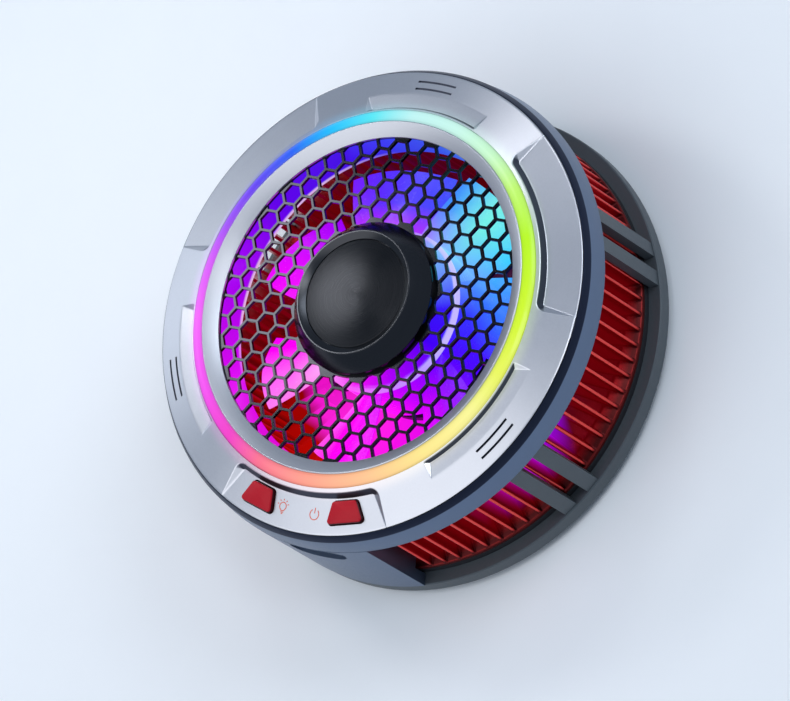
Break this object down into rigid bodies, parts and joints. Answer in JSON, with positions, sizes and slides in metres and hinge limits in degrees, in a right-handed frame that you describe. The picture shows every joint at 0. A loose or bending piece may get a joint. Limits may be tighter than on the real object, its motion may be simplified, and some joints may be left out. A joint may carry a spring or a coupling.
{
  "type": "phone cooling fan",
  "caption": "Round magnetic phone cooler with honeycomb grille, coloured light ring, red radial-fin heat sink, two red buttons and a USB-C inlet",
  "frame": {"origin": "middle of the face that touches the phone, on the fan axis", "axes": "+Z from the phone out through the grille, -Y towards the buttons and the inlet, +X to the right of someone who faces the buttons"},
  "size_m": [0.069, 0.069, 0.0282],
  "materials": {
    "silver_satin": "satin",
    "slate_band": "satin",
    "light_diffuser": "translucent",
    "grille_grey": "satin",
    "hub_black": "gloss",
    "button_red": "satin",
    "fan_clear": "translucent",
    "board_green": "matte",
    "part_white": "matte",
    "part_black": "matte",
    "steel": "brushed",
    "anodised_red": "anodised",
    "soft_black": "matte",
    "tray_grey": "satin",
    "bare_aluminium": "brushed",
    "pad_grey": "matte",
    "bronze": "satin",
    "copper": "gloss",
    "lead_red": "satin"
  },
  "bodies": {
    "housing": {"face_ring": "silver_satin", "inner_bezel": "silver_satin", "upper_shell": "slate_band", "port_block": "slate_band", "light_ring": "light_diffuser", "grille": "grille_grey", "hub_cap": "hub_black", "hub_disc": "hub_black", "fan_duct": "fan_clear", "main_board": "board_green", "motor_board": "board_green", "led_chips": "part_white", "tact_switches": "part_black", "board_chips": "part_black", "usb_c_socket": "steel", "heatsink": "anodised_red", "seal_ring": "soft_black", "insulation_foam": "soft_black", "base_tray": "tray_grey", "base_screws": "steel", "peltier_module": "part_white", "cold_plate": "bare_aluminium", "magnet_ring": "steel", "contact_pad": "pad_grey", "motor_base": "part_black", "motor_screws": "steel", "bearing_sleeve": "bronze", "stator_core": "steel", "stator_coils": "copper", "module_leads": "lead_red", "fan_leads": "soft_black"},
    "rotor": {"impeller": "fan_clear", "rotor_yoke": "steel", "rotor_magnet": "part_black", "fan_shaft": "steel", "shaft_clip": "part_white"},
    "light_button": {"light_button": "button_red"},
    "power_button": {"power_button": "button_red"}
  },
  "joints": [
    {"name": "fan_spin", "type": "hinge", "parent": "housing", "child": "rotor", "pos_m": [0, 0, 0.015], "axis": [0, 0, 1], "continuous": true},
    {"name": "light_button_press", "type": "slide", "parent": "housing", "child": "light_button", "axis": [0.0411, 0.1687, -0.9848], "range_m": [0, 0.00025], "stiffness_N_per_m": 400},
    {"name": "power_button_press", "type": "slide", "parent": "housing", "child": "power_button", "axis": [-0.0411, 0.1687, -0.9848], "range_m": [0, 0.00025], "stiffness_N_per_m": 400}
  ]
}
